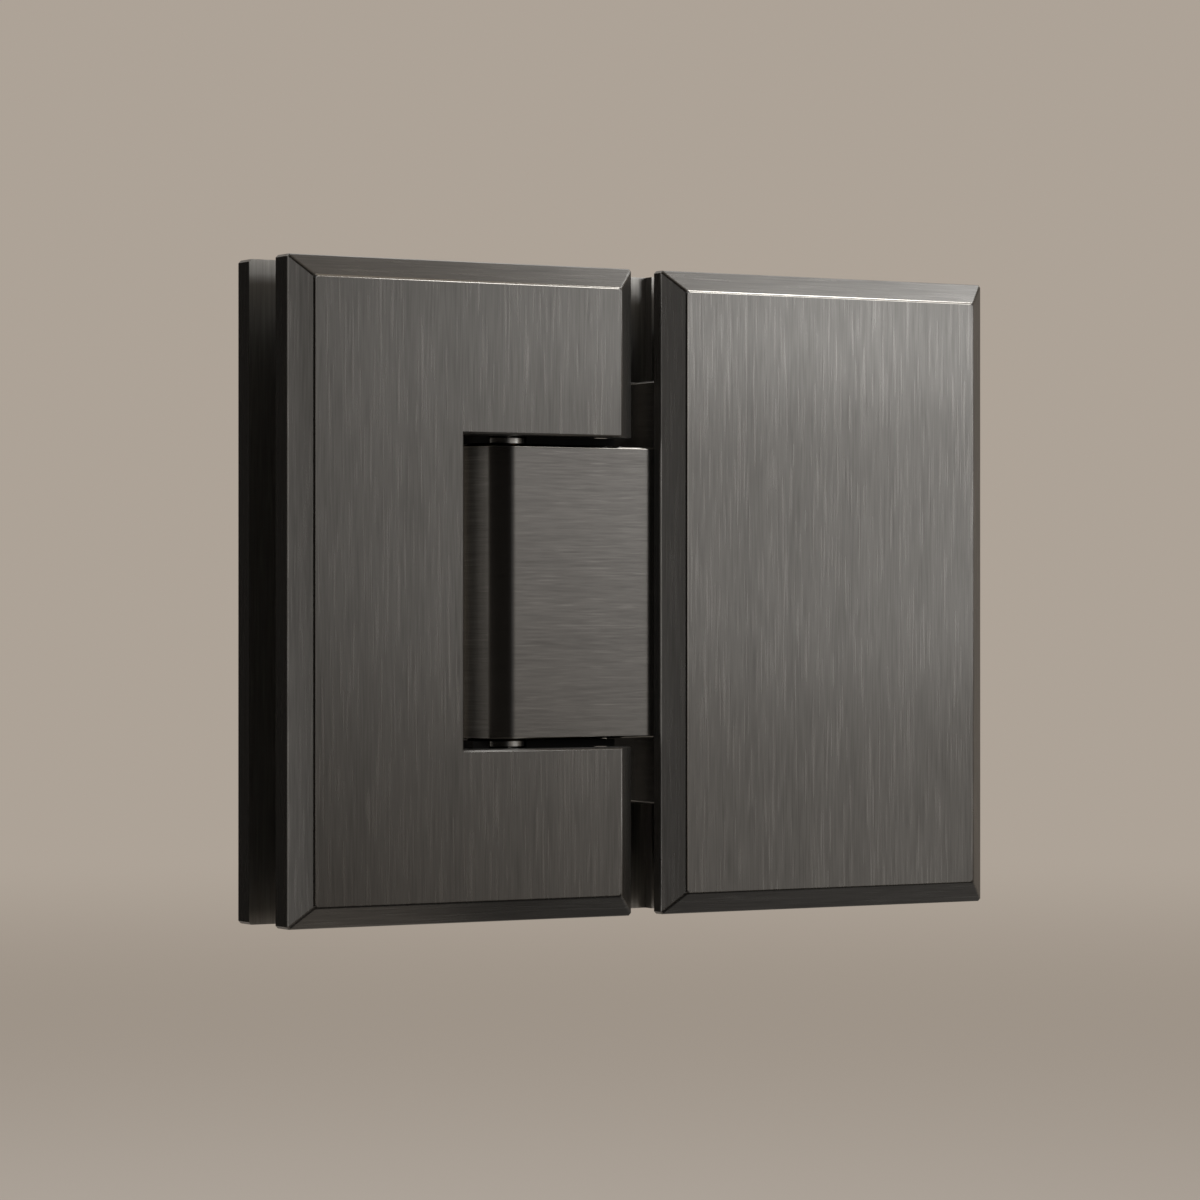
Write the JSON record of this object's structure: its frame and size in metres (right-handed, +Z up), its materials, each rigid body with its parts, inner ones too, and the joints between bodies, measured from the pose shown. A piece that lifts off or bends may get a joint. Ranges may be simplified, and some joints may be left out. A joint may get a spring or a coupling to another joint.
{
  "type": "shower door hinge",
  "caption": "Glass-to-glass shower door hinge with bevelled cover plates, a notched door half, a round-nosed pivot block and spring detents.",
  "frame": {"origin": "middle of the whole hinge, with both halves in line", "axes": "+X from the door half to the fixed half, +Z up along the pin, -Y is the outer face"},
  "size_m": [0.1134, 0.0194, 0.09],
  "materials": {
    "brushed_gunmetal": "brushed gunmetal plate over brass",
    "gunmetal_block": "brushed gunmetal plate over brass",
    "gasket": "matt dark rubber",
    "slide_pad": "matt black nylon",
    "bearing_bronze": "plain sintered",
    "spring_steel": "drawn wire",
    "screw_steel": "dark plated steel",
    "polished_steel": "polished",
    "black_steel": "black oxide"
  },
  "bodies": {
    "fixed_half": {"fixed_front_plate": "brushed_gunmetal", "fixed_back_plate": "brushed_gunmetal", "pivot_block": "gunmetal_block", "fixed_front_gasket": "gasket", "fixed_back_gasket": "gasket", "fixed_clamp_screws": "screw_steel", "upper_bush": "bearing_bronze", "lower_bush": "bearing_bronze", "upper_spring": "spring_steel", "lower_spring": "spring_steel", "upper_spring_plug": "black_steel", "lower_spring_plug": "black_steel"},
    "door_half": {"door_front_plate": "brushed_gunmetal", "door_back_plate": "brushed_gunmetal", "pin_carrier": "gunmetal_block", "pivot_pin": "polished_steel", "door_front_gasket": "gasket", "door_back_gasket": "gasket", "door_clamp_screws": "screw_steel", "upper_pin_lock_screw": "black_steel", "lower_pin_lock_screw": "black_steel", "upper_washer": "polished_steel", "lower_washer": "polished_steel", "upper_slide_pad": "slide_pad", "lower_slide_pad": "slide_pad"},
    "upper_plunger": {"upper_plunger": "polished_steel"},
    "lower_plunger": {"lower_plunger": "polished_steel"}
  },
  "joints": [
    {"name": "door_swing", "type": "hinge", "parent": "fixed_half", "child": "door_half", "pos_m": [-0.0205, 0, 0], "axis": [0, 0, 1], "range_deg": [-90, 90]},
    {"name": "upper_plunger_travel", "type": "slide", "parent": "fixed_half", "child": "upper_plunger", "axis": [1, 0, 0], "range_m": [-0.0005, 0], "stiffness_N_per_m": 4000, "springref_m": -0.003, "deforming": ["upper_spring"]},
    {"name": "lower_plunger_travel", "type": "slide", "parent": "fixed_half", "child": "lower_plunger", "axis": [1, 0, 0], "range_m": [-0.0005, 0], "stiffness_N_per_m": 4000, "springref_m": -0.003, "deforming": ["lower_spring"]}
  ]
}
